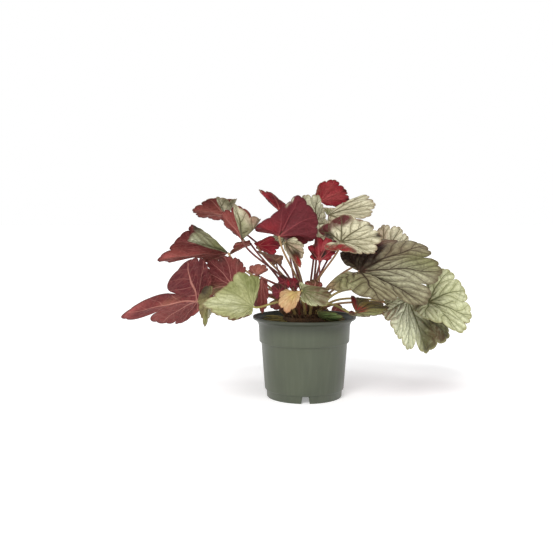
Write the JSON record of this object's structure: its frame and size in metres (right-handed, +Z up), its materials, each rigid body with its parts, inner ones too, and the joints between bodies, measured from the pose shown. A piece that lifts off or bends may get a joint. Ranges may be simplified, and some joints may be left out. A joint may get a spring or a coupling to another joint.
{
  "type": "potted heuchera",
  "caption": "Young heuchera with lobed, veined silver-green and burgundy leaves on thin petioles, growing from a crown in a round plastic grower pot that stands on its foot ring.",
  "frame": {"origin": "middle of the pot's foot ring, on the surface that the pot stands on", "axes": "+Z up along the pot's axis, +X to the right as seen from the front, +Y to the back"},
  "size_m": [0.3637, 0.1862, 0.2206],
  "materials": {
    "pot_plastic": "satin",
    "potting_soil": "matte",
    "woody_crown": "matte",
    "leaf_silver": "satin",
    "leaf_fresh": "satin",
    "leaf_burgundy": "satin",
    "leaf_crimson": "satin",
    "leaf_tan": "satin",
    "leaf_brown": "satin"
  },
  "bodies": {
    "root": {"pot": "pot_plastic", "soil": "potting_soil", "crown": "woody_crown", "leaf_back_lobes": "leaf_silver", "leaf_big_red": "leaf_burgundy", "leaf_big_silver": "leaf_silver", "leaf_brown_sliver": "leaf_brown", "leaf_brown_small": "leaf_brown", "leaf_crumpled": "leaf_crimson", "leaf_far_left": "leaf_burgundy", "leaf_far_right": "leaf_silver", "leaf_funnel": "leaf_brown", "leaf_green_low": "leaf_fresh", "leaf_in_pot": "leaf_fresh", "leaf_left_fold": "leaf_burgundy", "leaf_low_right": "leaf_silver", "leaf_mid_left": "leaf_burgundy", "leaf_olive_hanging": "leaf_fresh", "leaf_olive_right": "leaf_fresh", "leaf_pale_left": "leaf_silver", "leaf_pale_right": "leaf_silver", "leaf_pink_small": "leaf_brown", "leaf_rear_left": "leaf_silver", "leaf_rear_left_low": "leaf_silver", "leaf_rear_low": "leaf_fresh", "leaf_rear_low_right": "leaf_fresh", "leaf_rear_right": "leaf_silver", "leaf_rear_right_low": "leaf_silver", "leaf_rear_top_left": "leaf_silver", "leaf_rear_top_right": "leaf_silver", "leaf_red_strip": "leaf_burgundy", "leaf_second_left": "leaf_burgundy", "leaf_silver_top": "leaf_silver", "leaf_small_green": "leaf_fresh", "leaf_small_red": "leaf_crimson", "leaf_tan": "leaf_tan", "leaf_top_left": "leaf_burgundy", "leaf_top_red": "leaf_crimson", "leaf_top_sliver": "leaf_crimson", "leaf_young_left": "leaf_burgundy", "leaf_young_low": "leaf_burgundy", "leaf_young_middle": "leaf_burgundy", "leaf_young_right": "leaf_crimson"}
  },
  "joints": []
}
